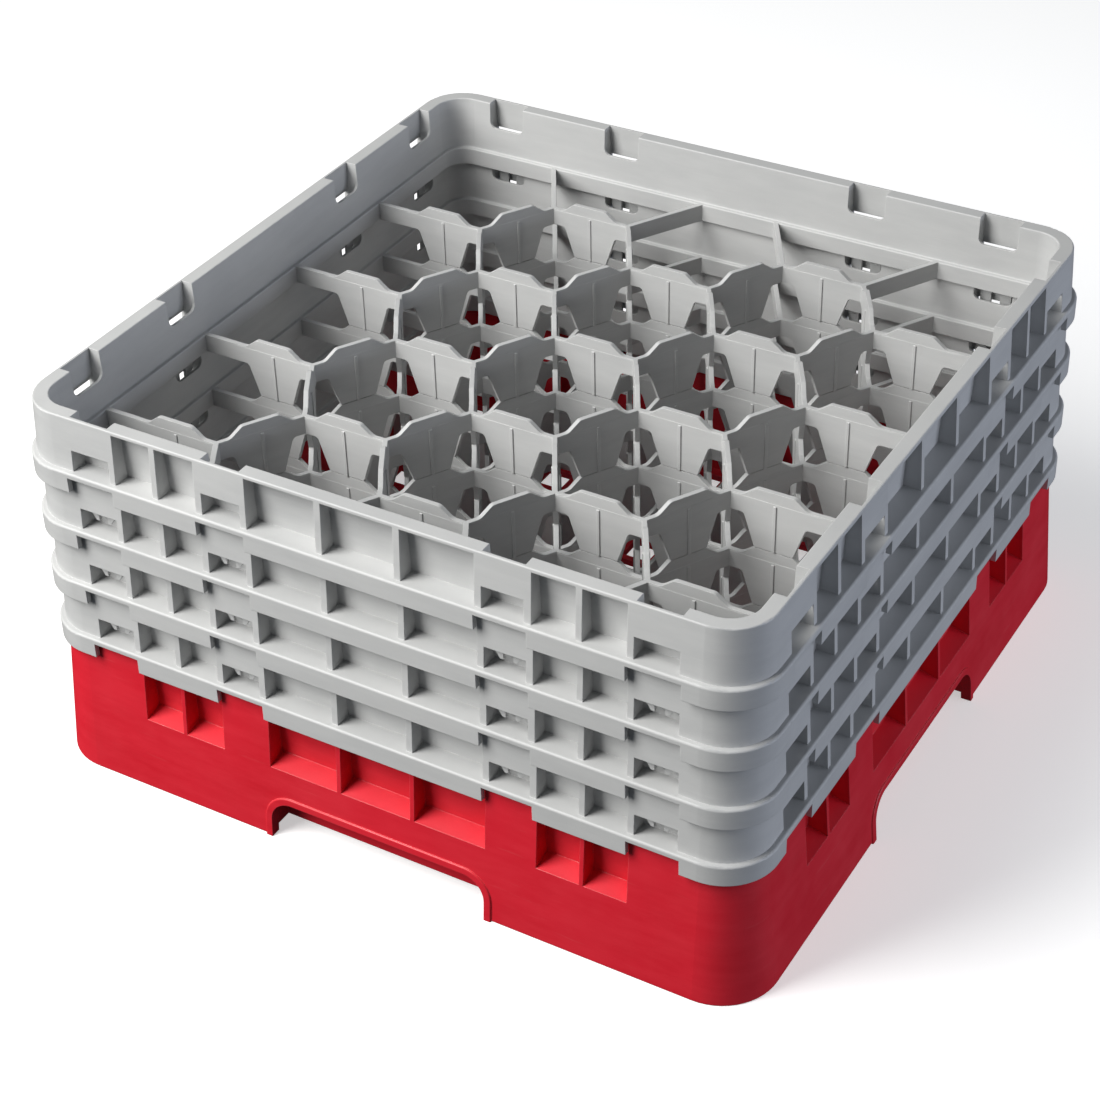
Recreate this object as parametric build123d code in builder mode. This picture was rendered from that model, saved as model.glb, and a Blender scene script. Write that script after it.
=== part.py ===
from build123d import *
import math
import os

os.makedirs("parts", exist_ok=True)

# ---------------------------------------------------------------- dimensions
PITCH = 41.275            # height each extender adds
N_EXT = 4
BASE_RIM = 98.9           # top of the base rack
RIM_UP = 35.9             # extender ledge to extender rim
LEDGE_1 = BASE_RIM + 5.4  # ledge of the lowest extender
CENTRE = 214.2            # corner arcs of every level share this centre

# extender, heights counted from its ledge
BODY_HALF = 244.6         # outer plane at the ledge
BODY_TOP_HALF = 242.6     # outer plane at the rim
SKIRT_HALF = 248.0        # skirt stands out beyond the body
SKIRT_DEEP = 13.8         # skirt below the ledge at corners and tall windows
SKIRT_SHALLOW = 3.7       # skirt below the ledge over the latch panels
SKIRT_INNER = 245.2
CAV_TOP_HALF = 232.8      # inner face at the rim
CAV_LOW_HALF = 231.2      # inner face at the inner step
STEP_Z = -1.4             # inner step, from the ledge
BAND_HALF = 228.5         # inner face of the band under the step
BAND_OUT = 231.6          # outer face of the band
WEB_Z = -5.1              # underside of the web that rests on the rim below
WIN_H = 33.6              # tall window height
LOW_H = 14.3              # latch window height
BACK_LOW = 233.2          # window back plane at the ledge
BACK_TOP = 234.8          # window back plane at the rim
PANEL_T = 2.2             # latch panel thickness
UCUT_Z = 17.0             # bottom of the pocket mouth in the inner wall

TALL = [(-169.5, -142.4), (-138.5, -111.3),
        (-75.7, -28.1), (-23.9, 23.9), (28.1, 75.7),
        (111.3, 138.5), (142.4, 169.5)]
LATCH = [(-200.8, -173.6), (-106.8, -80.0), (80.0, 106.8), (173.6, 200.8)]
NOTCH = [(-203.6, -170.2), (-110.0, -76.4), (76.4, 110.0), (170.2, 203.6)]

# honeycomb divider
SIDE = 58.6               # hexagon side, node to node
ROW = SIDE * math.sqrt(3) / 2
WALL_T = 3.3              # strip and panel thickness
CROWN_T = 3.0             # crown thickness
RIB_W, RIB_OUT = 1.9, 0.6 # rib down the middle of each panel
NODE_TOP = -1.6
CROWN_TOP = 4.9
STRIP_BOT = -SKIRT_DEEP
PANEL_BOT = -35.9

# base rack
FOOT_HALF = 251.3
TOP_HALF = 243.0
BASE_TAPER = math.degrees(math.atan((FOOT_HALF - TOP_HALF) / BASE_RIM))
FLOOR_LO, FLOOR_HI = 4.5, 9.5
BCAV_TOP, BCAV_TAPER = 232.8, 1.3
BWIN_LO, BWIN_BACK, BWIN_HI = 52.7, 56.2, 96.6
ARCH_HALF, ARCH_TOP, ARCH_R = 76.4, 28.6, 15.0
LIP_W, LIP_OUT, LIP_IN = 4.8, 1.0, 6.0
PART_REACH = 229.4        # the partition's strips stop just short of the walls


def r_of(half):
    return half - CENTRE


def base_half(z):
    return FOOT_HALF - (FOOT_HALF - TOP_HALF) * z / BASE_RIM


# ------------------------------------------------------------- divider walls
# A wall lies along X, centred on the origin, standing in XZ. The extender wall
# is drawn about its ledge height; the partition wall stands on the floor grid.
def wall_outline(bot, half_bot, node_top, crown_top, strip_bot):
    return [(-SIDE / 2, strip_bot), (-19.8, strip_bot), (-half_bot, bot),
            (half_bot, bot), (19.8, strip_bot), (SIDE / 2, strip_bot),
            (SIDE / 2, node_top), (20.6, node_top), (12.2, crown_top),
            (-12.2, crown_top), (-20.6, node_top), (-SIDE / 2, node_top)]


with BuildPart() as ext_wall:
    with BuildSketch(Plane.XZ) as outline:
        with BuildLine():
            Polyline(*wall_outline(PANEL_BOT, 12.4, NODE_TOP, CROWN_TOP, STRIP_BOT), close=True)
        make_face()
        fillet([v for v in outline.vertices() if abs(abs(v.X) - 20.6) < 0.1], 6.0)
        fillet([v for v in outline.vertices() if abs(abs(v.X) - 12.2) < 0.1 and v.Y > 0], 4.0)
        fillet([v for v in outline.vertices() if abs(abs(v.X) - 19.8) < 0.1], 3.0)
    extrude(amount=CROWN_T / 2, both=True)
    with BuildSketch(Plane.XZ) as body_outline:
        with BuildLine():
            Polyline((-SIDE / 2, STRIP_BOT), (-19.8, STRIP_BOT), (-12.4, PANEL_BOT),
                     (12.4, PANEL_BOT), (19.8, STRIP_BOT), (SIDE / 2, STRIP_BOT),
                     (SIDE / 2, NODE_TOP - 0.8), (-SIDE / 2, NODE_TOP - 0.8), close=True)
        make_face()
        fillet([v for v in body_outline.vertices() if abs(abs(v.X) - 19.8) < 0.1], 3.0)
    extrude(amount=WALL_T / 2, both=True)
    with Locations((0, 0, (PANEL_BOT + NODE_TOP - 2.2) / 2)):
        Box(RIB_W, WALL_T + 2 * RIB_OUT, NODE_TOP - 2.2 - PANEL_BOT)

BASE_NODE = LEDGE_1 + NODE_TOP - PITCH
BASE_CROWN = LEDGE_1 + CROWN_TOP - PITCH
with BuildPart() as partition_wall:    # closed down to the floor
    with BuildSketch(Plane.XZ) as outline:
        with BuildLine():
            Polyline((-SIDE / 2, FLOOR_HI), (SIDE / 2, FLOOR_HI), (SIDE / 2, BASE_NODE),
                     (20.6, BASE_NODE), (12.2, BASE_CROWN), (-12.2, BASE_CROWN),
                     (-20.6, BASE_NODE), (-SIDE / 2, BASE_NODE), close=True)
        make_face()
        fillet([v for v in outline.vertices() if abs(abs(v.X) - 20.6) < 0.1], 6.0)
        fillet([v for v in outline.vertices() if abs(abs(v.X) - 12.2) < 0.1], 4.0)
    extrude(amount=CROWN_T / 2, both=True)
    with Locations((0, 0, (FLOOR_HI + BASE_NODE - 0.8) / 2)):
        Box(SIDE, WALL_T, BASE_NODE - 0.8 - FLOOR_HI)
    with Locations((0, 0, (FLOOR_HI + BASE_NODE - 2.2) / 2)):
        Box(RIB_W, WALL_T + 2 * RIB_OUT, BASE_NODE - 2.2 - FLOOR_HI)

# plan of the honeycomb: full walls (centre x, y, angle) and plain strips to
# the side walls (start point, end point)
P_ROWS = [3.5 * ROW - i * 2 * ROW for i in range(4)]
Q_ROWS = [2.5 * ROW - i * 2 * ROW for i in range(4)]
FULL = []
for y in P_ROWS:
    FULL += [(-1.5 * SIDE, y, 0), (1.5 * SIDE, y, 0)]
for y in Q_ROWS:
    FULL += [(0, y, 0), (-3 * SIDE, y, 0), (3 * SIDE, y, 0)]
for y in P_ROWS:
    for sx in (-1, 1):
        if y < 3 * ROW:
            FULL += [(sx * 0.75 * SIDE, y + ROW / 2, -60 * sx), (sx * 2.25 * SIDE, y + ROW / 2, 60 * sx)]
        FULL += [(sx * 0.75 * SIDE, y - ROW / 2, 60 * sx), (sx * 2.25 * SIDE, y - ROW / 2, -60 * sx)]


def strips(reach):
    out = []
    for y in Q_ROWS:
        for sx in (-1, 1):
            out.append(((sx * 3.5 * SIDE, y), (sx * reach, y)))
    rise = reach - 3.5 * ROW
    run = rise / math.sqrt(3)
    for sx in (-1, 1):
        out.append(((sx * SIDE, 3.5 * ROW), (sx * (SIDE - run), reach)))
        out.append(((sx * 2 * SIDE, 3.5 * ROW), (sx * (2 * SIDE + run), reach)))
        out.append(((sx * SIDE / 2, -3.5 * ROW), (sx * (SIDE / 2 + run), -reach)))
        out.append(((sx * 2.5 * SIDE, -3.5 * ROW), (sx * (2.5 * SIDE - run), -reach)))
    return out


def strip_locations(reach):
    for (x0, y0), (x1, y1) in strips(reach):
        length = math.hypot(x1 - x0, y1 - y0)
        ang = math.degrees(math.atan2(y1 - y0, x1 - x0))
        yield (x0 + x1) / 2, (y0 + y1) / 2, ang, length


# ---------------------------------------------------------------- extender
with BuildPart() as side_cut:          # window recesses of the -Y side
    for x0, x1 in TALL:
        with BuildSketch(Plane.YZ.offset(x0)):
            with BuildLine():
                Polyline((-260, 0), (-BACK_LOW, 0), (-BACK_TOP, WIN_H), (-260, WIN_H), close=True)
            make_face()
        extrude(amount=x1 - x0)
    for x0, x1 in LATCH:
        panel_low = BODY_HALF - (BODY_HALF - BODY_TOP_HALF) * LOW_H / RIM_UP - PANEL_T
        panel_top = BODY_TOP_HALF - PANEL_T
        with BuildSketch(Plane.YZ.offset(x0)):
            with BuildLine():
                Polyline((-260, 0), (-BACK_LOW, 0), (-BACK_TOP, RIM_UP + 1),
                         (-panel_top, RIM_UP + 1), (-panel_low, LOW_H), (-260, LOW_H), close=True)
            make_face()
        extrude(amount=x1 - x0)
        with BuildSketch(Plane.XZ.offset(226)) as mouth:
            with Locations(((x0 + x1) / 2, (UCUT_Z + RIM_UP + 6) / 2)):
                Rectangle(x1 - x0, RIM_UP + 6 - UCUT_Z)
            fillet(mouth.vertices().sort_by(Axis.Y)[:2], 5.0)
        extrude(amount=10)

with BuildPart() as notch_cut:         # shallow lengths of the -Y skirt
    for x0, x1 in NOTCH:
        with Locations(((x0 + x1) / 2, -248.5, (-SKIRT_SHALLOW - SKIRT_DEEP - 1) / 2)):
            Box(x1 - x0, 9.8, SKIRT_DEEP + 1 - SKIRT_SHALLOW)

with BuildPart() as channel:           # takes the rim of the level below
    with BuildSketch(Plane.XY.offset(-SKIRT_DEEP - 1)):
        RectangleRounded(2 * SKIRT_INNER, 2 * SKIRT_INNER, r_of(SKIRT_INNER))
        RectangleRounded(2 * BAND_OUT, 2 * BAND_OUT, r_of(BAND_OUT), mode=Mode.SUBTRACT)
    extrude(amount=SKIRT_DEEP + 1 + WEB_Z)

with BuildPart() as side_add:          # skirt returns and latch teeth, -Y side
    for x0, x1 in NOTCH:
        for xa in (x0 - 2.0, x1):
            with Locations((xa + 1.0, -245.0, (-SKIRT_DEEP + WEB_Z + 0.4) / 2)):
                Box(2.0, 1.2, SKIRT_DEEP + WEB_Z + 0.4)
    for x0, x1 in LATCH:
        xc = (x0 + x1) / 2
        with BuildSketch(Plane.XZ.offset(238.0)):
            for s in (-1, 1):
                with BuildLine():
                    Polyline((xc + s * 3.2, -34.6), (xc + s * 5.4, -34.6), (xc + s * 10.8, -26.1),
                             (xc + s * 10.8, WEB_Z + 0.5), (xc + s * 3.2, WEB_Z + 0.5), close=True)
                make_face()
        extrude(amount=2.0)

BODY_TAPER = math.degrees(math.atan((BODY_HALF - BODY_TOP_HALF) / RIM_UP))
CAV_TAPER = math.degrees(math.atan((CAV_TOP_HALF - CAV_LOW_HALF) / (RIM_UP - STEP_Z)))
with BuildPart() as ext_local:
    with BuildSketch(Plane.XY.offset(-SKIRT_DEEP)):
        RectangleRounded(2 * SKIRT_HALF, 2 * SKIRT_HALF, r_of(SKIRT_HALF))
    extrude(amount=SKIRT_DEEP)
    fillet(ext_local.faces().sort_by(Axis.Z)[-1].edges(), 1.5)
    with BuildSketch(Plane.XY.offset(-1)):
        RectangleRounded(2 * BODY_HALF, 2 * BODY_HALF, r_of(BODY_HALF))
    extrude(amount=RIM_UP + 1, taper=BODY_TAPER)
    fillet(ext_local.faces().sort_by(Axis.Z)[-1].edges(), 1.0)
    with BuildSketch(Plane.XY.offset(RIM_UP)):
        RectangleRounded(2 * CAV_TOP_HALF, 2 * CAV_TOP_HALF, r_of(CAV_TOP_HALF))
    extrude(amount=-(RIM_UP - STEP_Z), taper=CAV_TAPER, mode=Mode.SUBTRACT)
    with BuildSketch(Plane.XY.offset(-SKIRT_DEEP - 1)):
        RectangleRounded(2 * BAND_HALF, 2 * BAND_HALF, r_of(BAND_HALF))
    extrude(amount=SKIRT_DEEP + 1 + STEP_Z + 0.5, mode=Mode.SUBTRACT)
    step_edges = [e for e in ext_local.edges()
                  if abs(e.center().Z - STEP_Z) < 0.02
                  and max(abs(e.center().X), abs(e.center().Y)) < BAND_HALF + 0.05]
    fillet(step_edges, 1.0)
    rim_edges = [e for e in ext_local.edges()
                 if abs(e.center().Z - RIM_UP) < 0.02
                 and max(abs(e.center().X), abs(e.center().Y)) < CAV_TOP_HALF + 0.05]
    fillet(rim_edges, 0.8)
    add(channel.part, mode=Mode.SUBTRACT)
    with PolarLocations(0, 4):
        add(side_cut.part, mode=Mode.SUBTRACT)
    with PolarLocations(0, 4):
        add(notch_cut.part, mode=Mode.SUBTRACT)
    with PolarLocations(0, 4):
        add(side_add.part)

with BuildPart() as grid_local:        # honeycomb of one extender
    with Locations(*[Location((x, y, 0), (0, 0, a)) for x, y, a in FULL]):
        add(ext_wall.part)
    for x, y, a, length in strip_locations(230.0):
        with Locations(Location((x, y, (STRIP_BOT + NODE_TOP) / 2), (0, 0, a))):
            Box(length, WALL_T, NODE_TOP - STRIP_BOT)

with BuildPart() as ext_local_full:
    add(ext_local.part)
    add(grid_local.part)

print("extender", ext_local_full.part.volume, len(ext_local_full.part.solids()),
      len(ext_local_full.part.faces()))

with BuildPart() as extender_1:
    with Locations((0, 0, LEDGE_1)):
        add(ext_local_full.part)
extender_1.part.label = "extender_1"
export_step(extender_1.part, "parts/extender_1.step")

with BuildPart() as extender_2:
    with Locations((0, 0, LEDGE_1 + PITCH)):
        add(ext_local_full.part)
extender_2.part.label = "extender_2"
export_step(extender_2.part, "parts/extender_2.step")

with BuildPart() as extender_3:
    with Locations((0, 0, LEDGE_1 + 2 * PITCH)):
        add(ext_local_full.part)
extender_3.part.label = "extender_3"
export_step(extender_3.part, "parts/extender_3.step")

with BuildPart() as extender_4:
    with Locations((0, 0, LEDGE_1 + 3 * PITCH)):
        add(ext_local_full.part)
extender_4.part.label = "extender_4"
export_step(extender_4.part, "parts/extender_4.step")

# ---------------------------------------------------------------- base rack
with BuildPart() as base_side_cut:     # -Y side: recesses, pockets and arch
    for x0, x1 in TALL:
        with BuildSketch(Plane.YZ.offset(x0 - 0.6)):
            with BuildLine():
                Polyline((-260, BWIN_LO - 3.0), (-base_half(BWIN_LO), BWIN_LO),
                         (-233.9, BWIN_BACK), (-234.9, BWIN_HI), (-260, BWIN_HI), close=True)
            make_face()
        extrude(amount=x1 - x0 + 1.2)
    for x0, x1 in LATCH:
        with BuildSketch(Plane.YZ.offset(x0)):
            with BuildLine():
                Polyline((-234.2, 66), (-234.9, BASE_RIM + 1), (-240.4, BASE_RIM + 1),
                         (-242.9, 66), close=True)
            make_face()
        extrude(amount=x1 - x0)
        with BuildSketch(Plane.XZ.offset(226)) as mouth:
            z0 = BASE_RIM - RIM_UP + UCUT_Z
            with Locations(((x0 + x1) / 2, (z0 + BASE_RIM + 6) / 2)):
                Rectangle(x1 - x0, BASE_RIM + 6 - z0)
            fillet(mouth.vertices().sort_by(Axis.Y)[:2], 5.0)
        extrude(amount=10)
        with Locations(((x0 + x1) / 2, -239.2, 54.0)):
            Box(x1 - x0, 7.4, 17.0)
    with BuildSketch(Plane.XZ.offset(235.6)) as arch:
        with Locations((0, ARCH_TOP / 2 - 10)):
            Rectangle(2 * ARCH_HALF, ARCH_TOP + 20)
        fillet(arch.vertices().sort_by(Axis.Y)[-2:], ARCH_R)
    extrude(amount=20)

tilt = math.radians(BASE_TAPER)
face_plane = Plane(origin=(0, -FOOT_HALF, 0), x_dir=(1, 0, 0),
                   z_dir=(0, -math.cos(tilt), math.sin(tilt)))
with BuildPart() as lip:               # raised rim of the hand arch, -Y side
    with BuildSketch(face_plane.offset(-LIP_IN)) as lip_sketch:
        with Locations((0, (ARCH_TOP + LIP_W) / 2 - 10)):
            Rectangle(2 * (ARCH_HALF + LIP_W), ARCH_TOP + LIP_W + 20)
        fillet(lip_sketch.vertices().sort_by(Axis.Y)[-2:], ARCH_R + LIP_W)
    extrude(amount=LIP_IN + LIP_OUT)
    fillet(lip.faces().sort_by(Axis.Y)[0].edges(), 0.9)
    with BuildSketch(face_plane.offset(-LIP_IN - 5)) as lip_hole:
        with Locations((0, ARCH_TOP / 2 - 12)):
            Rectangle(2 * ARCH_HALF, ARCH_TOP + 24)
        fillet(lip_hole.vertices().sort_by(Axis.Y)[-2:], ARCH_R)
    extrude(amount=20, mode=Mode.SUBTRACT)
    with Locations((0, -FOOT_HALF, -25)):
        Box(400, 60, 50, mode=Mode.SUBTRACT)

with BuildPart() as hollow:            # open underside between skin and basket
    with BuildSketch(Plane.XY):
        RectangleRounded(2 * (FOOT_HALF - 2.8), 2 * (FOOT_HALF - 2.8), r_of(FOOT_HALF - 2.8))
    extrude(amount=48.5, taper=BASE_TAPER)
    with BuildSketch(Plane.XY.offset(FLOOR_LO)):
        RectangleRounded(2 * 233.6, 2 * 233.6, r_of(233.6))
    extrude(amount=60, mode=Mode.SUBTRACT)
    for xr in (-203.0, -171.5, -108.8, -78.0, 78.0, 108.8, 171.5, 203.0):
        for a in (0, 90, 180, 270):    # stiffening webs
            with Locations(Location((0, 0, 0), (0, 0, a))):
                with Locations((xr, -243.0, 29.0)):
                    Box(2.2, 22, 49, mode=Mode.SUBTRACT)

with BuildPart() as corner_hollow:
    with BuildSketch(Plane.XY.offset(48.0)):
        RectangleRounded(2 * 240.4, 2 * 240.4, r_of(240.4))
        RectangleRounded(2 * 235.6, 2 * 235.6, r_of(235.6), mode=Mode.SUBTRACT)
        Rectangle(2 * 204.4, 600, mode=Mode.SUBTRACT)
        Rectangle(600, 2 * 204.4, mode=Mode.SUBTRACT)
    extrude(amount=44)

with BuildPart() as base_rack:
    with BuildSketch(Plane.XY):
        RectangleRounded(2 * FOOT_HALF, 2 * FOOT_HALF, r_of(FOOT_HALF))
    extrude(amount=BASE_RIM, taper=BASE_TAPER)
    fillet(base_rack.faces().sort_by(Axis.Z)[-1].edges(), 0.8)
    fillet(base_rack.faces().sort_by(Axis.Z)[0].edges(), 1.0)
    with BuildSketch(Plane.XY.offset(BASE_RIM)):
        RectangleRounded(2 * BCAV_TOP, 2 * BCAV_TOP, r_of(BCAV_TOP))
    extrude(amount=-(BASE_RIM - FLOOR_HI), taper=BCAV_TAPER, mode=Mode.SUBTRACT)
    add(hollow.part, mode=Mode.SUBTRACT)
    add(corner_hollow.part, mode=Mode.SUBTRACT)
    with PolarLocations(0, 4):
        add(base_side_cut.part, mode=Mode.SUBTRACT)
    with BuildSketch(Plane.XY.offset(FLOOR_LO - 1)):   # open floor grid
        with GridLocations(25, 25, 18, 18):
            Rectangle(20.4, 20.4)
    extrude(amount=FLOOR_HI - FLOOR_LO + 2, mode=Mode.SUBTRACT)
    with PolarLocations(0, 4):
        add(lip.part)
base_rack.part.label = "base_rack"
print("base", base_rack.part.volume, len(base_rack.part.solids()), len(base_rack.part.faces()))
export_step(base_rack.part, "parts/base_rack.step")

# ------------------------------------------------------- partition of the base
with BuildPart() as base_partition:    # stands on the floor grid
    with Locations(*[Location((x, y, 0), (0, 0, a)) for x, y, a in FULL]):
        add(partition_wall.part)
    for x, y, a, length in strip_locations(PART_REACH):
        with Locations(Location((x, y, (FLOOR_HI + BASE_NODE) / 2), (0, 0, a))):
            Box(length, WALL_T, BASE_NODE - FLOOR_HI)
base_partition.part.label = "base_partition"
print("partition", base_partition.part.volume, len(base_partition.part.solids()),
      len(base_partition.part.faces()))
export_step(base_partition.part, "parts/base_partition.step")
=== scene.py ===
import math
import bpy
from mathutils import Matrix, Vector

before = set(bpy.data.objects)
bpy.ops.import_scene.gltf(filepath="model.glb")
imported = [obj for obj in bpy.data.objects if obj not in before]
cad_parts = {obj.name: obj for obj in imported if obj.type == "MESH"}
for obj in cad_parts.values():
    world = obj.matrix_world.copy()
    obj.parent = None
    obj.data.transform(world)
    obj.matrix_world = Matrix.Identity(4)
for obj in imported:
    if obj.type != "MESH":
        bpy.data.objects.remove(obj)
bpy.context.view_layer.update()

MM = 0.001

# ------------------------------------------------------------------ helpers
def node(tree, kind, x, y, **values):
    n = tree.nodes.new(kind)
    n.location = (x, y)
    for k, v in values.items():
        setattr(n, k, v)
    return n


def noise(tree, coord, scale, detail, rough, x, y, stretch=None):
    """A noise texture in object space, with an optional stretch along each axis."""
    src = coord
    if stretch is not None:
        m = node(tree, "ShaderNodeMapping", x - 200, y)
        m.inputs["Scale"].default_value = stretch
        tree.links.new(coord, m.inputs["Vector"])
        src = m.outputs["Vector"]
    n = node(tree, "ShaderNodeTexNoise", x, y)
    n.inputs["Scale"].default_value = scale
    n.inputs["Detail"].default_value = detail
    n.inputs["Roughness"].default_value = rough
    tree.links.new(src, n.inputs["Vector"])
    return n.outputs["Fac"]


def remap(tree, value, a, b, c, d, x, y):
    n = node(tree, "ShaderNodeMapRange", x, y)
    n.inputs["From Min"].default_value = a
    n.inputs["From Max"].default_value = b
    n.inputs["To Min"].default_value = c
    n.inputs["To Max"].default_value = d
    tree.links.new(value, n.inputs["Value"])
    return n.outputs["Result"]


def mix(tree, fac, a, b, x, y, blend="MIX"):
    n = node(tree, "ShaderNodeMix", x, y, data_type="RGBA", blend_type=blend)
    if isinstance(fac, float):
        n.inputs[0].default_value = fac
    else:
        tree.links.new(fac, n.inputs[0])
    for sock, val in ((n.inputs[6], a), (n.inputs[7], b)):
        if isinstance(val, tuple):
            sock.default_value = (*val, 1.0)
        else:
            tree.links.new(val, sock)
    return n.outputs[2]


def math_node(tree, op, a, b, x, y, clamp=False):
    n = node(tree, "ShaderNodeMath", x, y, operation=op, use_clamp=clamp)
    for sock, val in ((n.inputs[0], a), (n.inputs[1], b)):
        if isinstance(val, (int, float)):
            sock.default_value = float(val)
        elif val is not None:
            tree.links.new(val, sock)
    return n.outputs[0]


def moulded_plastic(name, body, deep, bright, edge_wear_and_highlight, rough_lo, rough_hi, specular):
    """Injection moulded polypropylene. body is its colour, deep and bright the clouding in it,
    and the edge tone the paler colour along its edges, partly handling wear and partly painted highlight."""
    m = bpy.data.materials.new(name)
    m.use_nodes = True
    t = m.node_tree
    t.nodes.clear()
    out = node(t, "ShaderNodeOutputMaterial", 1200, 0)
    bsdf = node(t, "ShaderNodeBsdfPrincipled", 900, 0)
    t.links.new(bsdf.outputs[0], out.inputs[0])
    coord = node(t, "ShaderNodeTexCoord", -1400, 0).outputs["Object"]

    # clouding of the pigment: broad patches, and streaks along the melt's flow
    cloud = remap(t, noise(t, coord, 9.0, 3.0, 0.55, -900, 400), 0.34, 0.68, 0.0, 1.0, -700, 400)
    flow = remap(t, noise(t, coord, 26.0, 4.0, 0.6, -900, 150, stretch=(1.0, 1.0, 5.5)),
                 0.36, 0.66, 0.0, 1.0, -700, 150)
    speck = remap(t, noise(t, coord, 1300.0, 2.0, 0.5, -900, -100), 0.30, 0.72, 0.0, 1.0, -700, -100)
    tone = mix(t, cloud, deep, body, -480, 400)
    tone = mix(t, math_node(t, "MULTIPLY", flow, 0.45, -480, 150), tone, bright, -300, 300)
    tone = mix(t, math_node(t, "MULTIPLY", speck, 0.16, -480, -100), tone, bright, -120, 250)

    # paler edges, partly rubbed wear and partly painted highlight: where the rounded normal leaves the flat one
    round_n = node(t, "ShaderNodeBevel", -900, -700, samples=4)
    round_n.inputs["Radius"].default_value = 0.8 * MM
    geo = node(t, "ShaderNodeNewGeometry", -900, -900)
    dot = node(t, "ShaderNodeVectorMath", -700, -800, operation="DOT_PRODUCT")
    t.links.new(round_n.outputs[0], dot.inputs[0])
    t.links.new(geo.outputs["Normal"], dot.inputs[1])
    edge_wear_highlight_mask = remap(t, dot.outputs["Value"], 0.995, 0.80, 0.0, 1.0, -500, -800)
    patch = remap(t, noise(t, coord, 70.0, 4.0, 0.65, -900, -1150), 0.40, 0.62, 0.25, 1.0, -700, -1150)
    edge_wear_highlight_mask = math_node(t, "MULTIPLY", edge_wear_highlight_mask, patch, -300, -900)
    tone = mix(t, math_node(t, "MULTIPLY", edge_wear_highlight_mask, 0.55, -120, -900), tone, edge_wear_and_highlight, 100, 200)

    # faint rubbed scuffs from sliding and stacking
    scuff = remap(t, noise(t, coord, 48.0, 6.0, 0.7, -900, -1400, stretch=(0.35, 0.35, 7.0)),
                  0.62, 0.74, 0.0, 1.0, -700, -1400)
    tone = mix(t, math_node(t, "MULTIPLY", scuff, 0.16, -120, -1300), tone, edge_wear_and_highlight, 300, 200)
    t.links.new(tone, bsdf.inputs["Base Color"])

    # roughness: moulded grain, smoother where rubbed
    patchy = noise(t, coord, 34.0, 4.0, 0.6, -900, -350)
    r = remap(t, patchy, 0.32, 0.70, rough_lo, rough_hi, -700, -350)
    r = math_node(t, "SUBTRACT", r, math_node(t, "MULTIPLY", edge_wear_highlight_mask, 0.10, 100, -500), 300, -400)
    t.links.new(r, bsdf.inputs["Roughness"])

    # surface: fine spark-eroded grain over slow sinks and waves of the skin
    grain = noise(t, coord, 1700.0, 2.0, 0.55, -900, -1650)
    waves = noise(t, coord, 30.0, 2.0, 0.5, -900, -1850)
    b_round = node(t, "ShaderNodeBevel", 100, -1500, samples=4)
    b_round.inputs["Radius"].default_value = 0.55 * MM
    b1 = node(t, "ShaderNodeBump", 350, -1600)
    b1.inputs["Strength"].default_value = 0.20
    b1.inputs["Distance"].default_value = 0.9 * MM
    t.links.new(waves, b1.inputs["Height"])
    t.links.new(b_round.outputs[0], b1.inputs["Normal"])
    b2 = node(t, "ShaderNodeBump", 600, -1600)
    b2.inputs["Strength"].default_value = 0.22
    b2.inputs["Distance"].default_value = 0.05 * MM
    t.links.new(grain, b2.inputs["Height"])
    t.links.new(b1.outputs[0], b2.inputs["Normal"])
    t.links.new(b2.outputs[0], bsdf.inputs["Normal"])

    bsdf.inputs["Specular IOR Level"].default_value = specular
    bsdf.inputs["IOR"].default_value = 1.49
    return m


def dress(ob, mat):
    ob.data.materials.clear()
    ob.data.materials.append(mat)


# ---------------------------------------------------------------- materials
# the edge tones below are partly handling wear and partly painted highlight along edges and rims
grey = moulded_plastic("grey_polypropylene",
                       body=(0.548, 0.551, 0.548), deep=(0.506, 0.510, 0.510),
                       bright=(0.602, 0.604, 0.598), edge_wear_and_highlight=(0.75, 0.75, 0.745),
                       rough_lo=0.36, rough_hi=0.48, specular=0.42)
red = moulded_plastic("red_polypropylene",
                      body=(0.730, 0.014, 0.032), deep=(0.640, 0.009, 0.022),
                      bright=(0.790, 0.026, 0.046), edge_wear_and_highlight=(0.88, 0.22, 0.22),
                      rough_lo=0.40, rough_hi=0.52, specular=0.70)
for name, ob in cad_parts.items():
    dress(ob, red if name == "base_rack" else grey)

# -------------------------------------------------------------------- floor
bpy.ops.mesh.primitive_plane_add(size=40.0, location=(0, 0, 0))
floor = bpy.context.object
floor.name = "floor"
fm = bpy.data.materials.new("pale_floor")
fm.use_nodes = True
ft = fm.node_tree
fb = ft.nodes["Principled BSDF"]
fb.inputs["Base Color"].default_value = (0.80, 0.80, 0.80, 1)
fb.inputs["Emission Color"].default_value = (1.0, 1.0, 1.0, 1)
fb.inputs["Emission Strength"].default_value = 0.50
fb.inputs["Roughness"].default_value = 0.9
fb.inputs["Specular IOR Level"].default_value = 0.1
dress(floor, fm)
floor.visible_diffuse = False
floor.visible_glossy = False

# ------------------------------------------------------------------- lights
def aim(ob, target):
    ob.rotation_mode = "QUATERNION"
    ob.rotation_quaternion = (Vector(target) - ob.location).to_track_quat("-Z", "Y")


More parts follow.
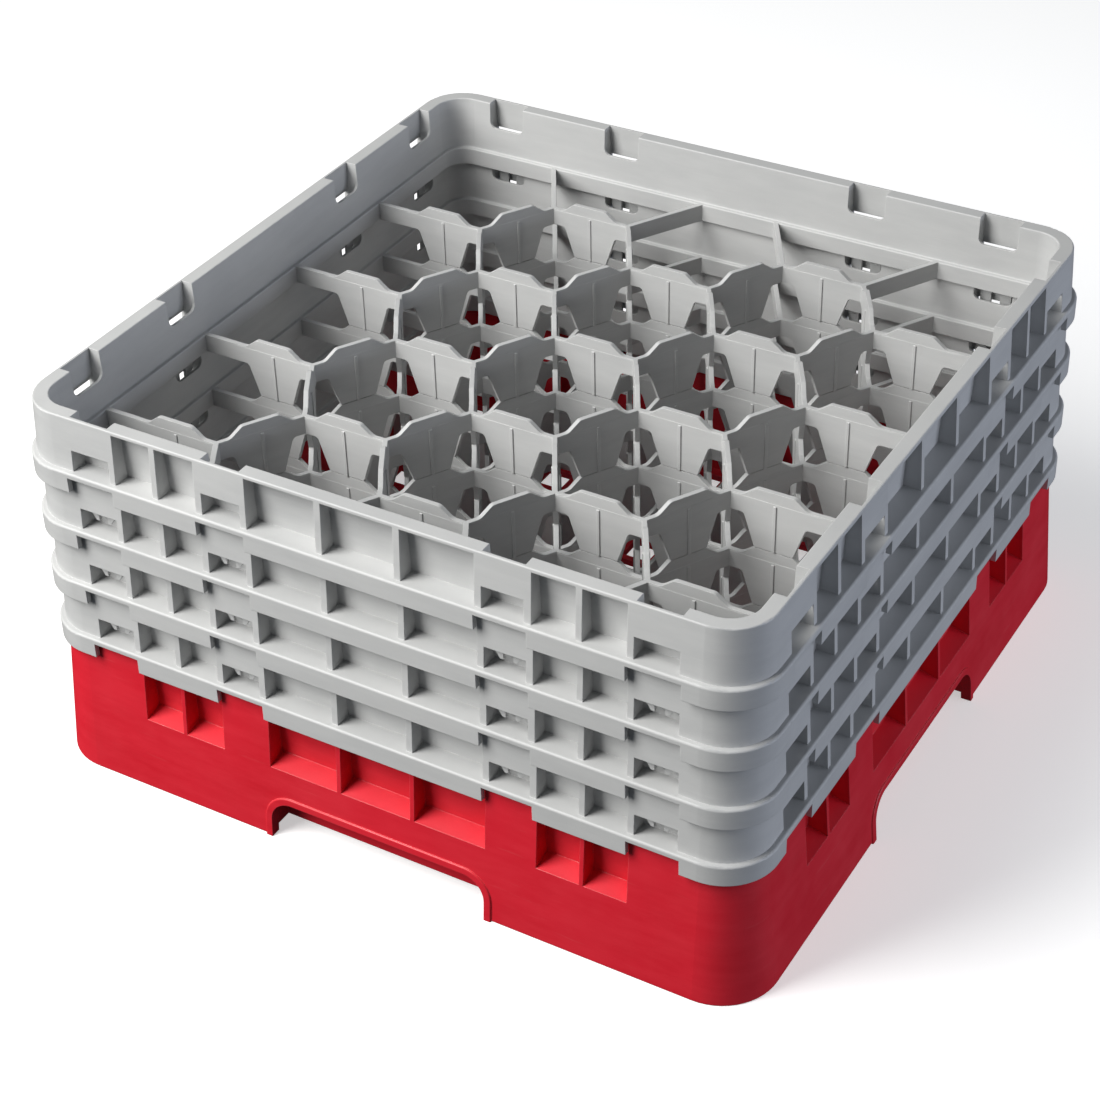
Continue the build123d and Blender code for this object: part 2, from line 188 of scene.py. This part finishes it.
def softbox(name, az, el, dist, size, size_y, watts, colour, target=(0, 0, 0.15)):
    l = bpy.data.lights.new(name, "AREA")
    l.shape = "RECTANGLE"
    l.size, l.size_y = size, size_y
    l.energy = watts
    l.color = colour
    ob = bpy.data.objects.new(name, l)
    bpy.context.scene.collection.objects.link(ob)
    a, e = math.radians(az), math.radians(el)
    ob.location = Vector(target) + dist * Vector((math.sin(a) * math.cos(e), -math.cos(a) * math.cos(e), math.sin(e)))
    aim(ob, target)
    return ob


softbox("key", -37, 31, 2.3, 1.3, 1.3, 47, (1.0, 0.995, 0.975))
softbox("overhead", -42, 55, 2.6, 1.2, 1.2, 43, (1.0, 0.995, 0.975))
softbox("side", 128, 32, 2.6, 1.4, 1.4, 2.5, (0.86, 0.90, 1.0))
softbox("low side", 100, 5, 2.6, 1.8, 0.6, 29, (0.80, 0.86, 1.0))

world = bpy.data.worlds.new("studio")
bpy.context.scene.world = world
world.use_nodes = True
bg = world.node_tree.nodes["Background"]
bg.inputs["Color"].default_value = (0.82, 0.90, 1.0, 1.0)
bg.inputs["Strength"].default_value = 0.085
world.cycles_visibility.glossy = False

# ------------------------------------------------------------------- camera
az, el, roll = map(math.radians, (30.8224, 35.6608, -1.4750))
back = Vector((math.sin(az) * math.cos(el), -math.cos(az) * math.cos(el), math.sin(el)))
right = Vector((math.cos(az), math.sin(az), 0))
up = back.cross(right)
r2 = right * math.cos(roll) + up * math.sin(roll)
u2 = -right * math.sin(roll) + up * math.cos(roll)
cam_data = bpy.data.cameras.new("camera")
cam_data.sensor_width = 36.0
cam_data.lens = 79.481
cam_data.clip_start, cam_data.clip_end = 0.05, 60.0
cam = bpy.data.objects.new("camera", cam_data)
bpy.context.scene.collection.objects.link(cam)
m = Matrix((r2, u2, back)).transposed().to_4x4()
m.translation = Vector((650.309, -1125.981, 1018.469)) * MM
cam.matrix_world = m
bpy.context.scene.camera = cam
bpy.context.scene.view_settings.view_transform = "Standard"
bpy.context.scene.view_settings.look = "None"
